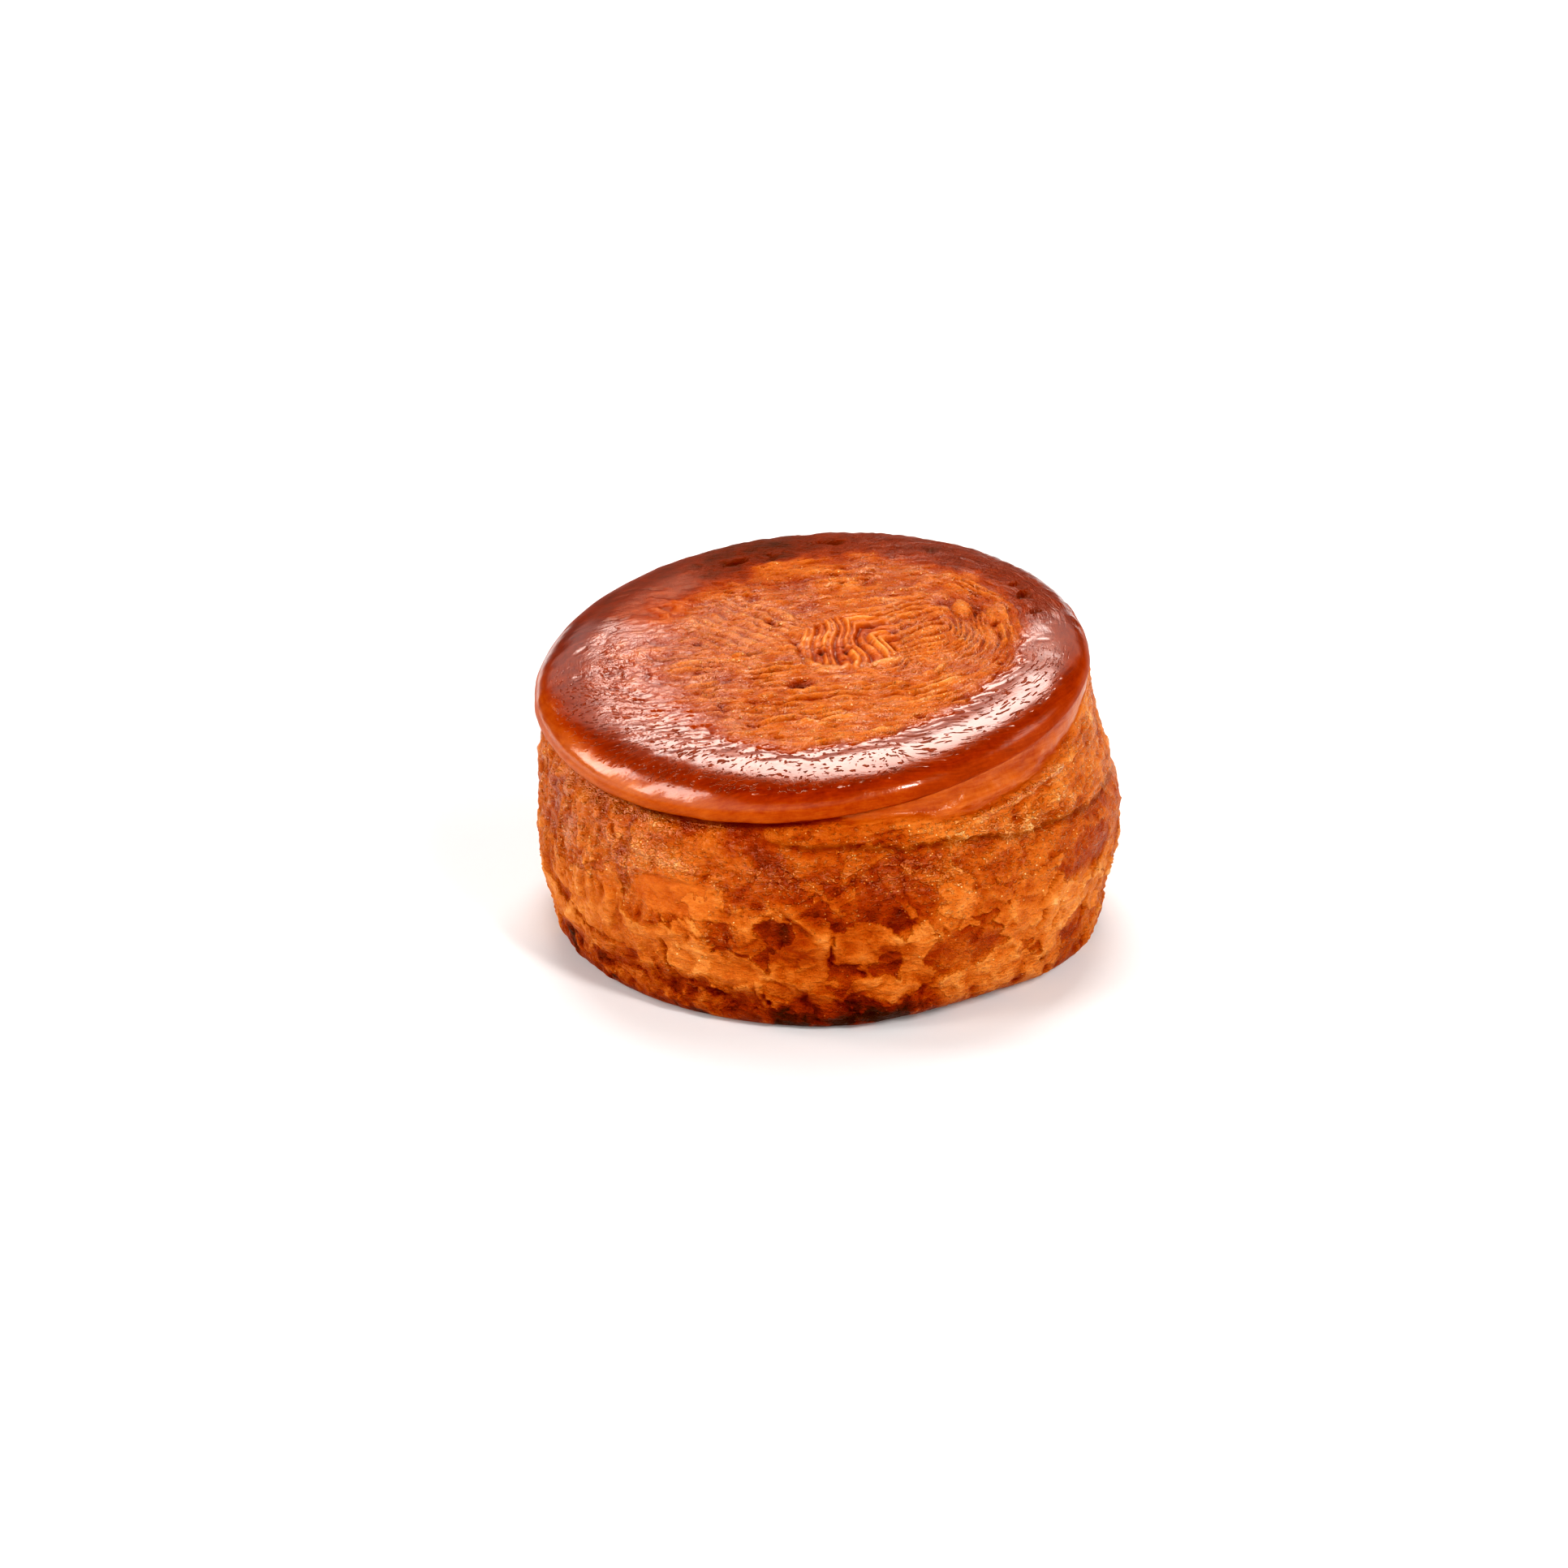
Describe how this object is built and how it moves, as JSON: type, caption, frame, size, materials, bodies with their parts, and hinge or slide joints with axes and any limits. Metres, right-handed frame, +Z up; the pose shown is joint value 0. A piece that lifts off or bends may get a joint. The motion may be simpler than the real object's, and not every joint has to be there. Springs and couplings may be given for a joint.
{
  "type": "kouign amann",
  "caption": "Round single-serve laminated butter pastry with a glossy tilted caramel cap, a lip over one side, a rolled and folded centre, and flaky golden sides.",
  "frame": {"origin": "centre of the footprint on the table", "axes": "+Z up through the caramel cap, -Y towards the front, where the cap is lowest; the cap is higher at +X"},
  "size_m": [0.0868, 0.086, 0.047],
  "materials": {
    "crust": null
  },
  "bodies": {
    "root": {"pastry": "crust"}
  },
  "joints": []
}
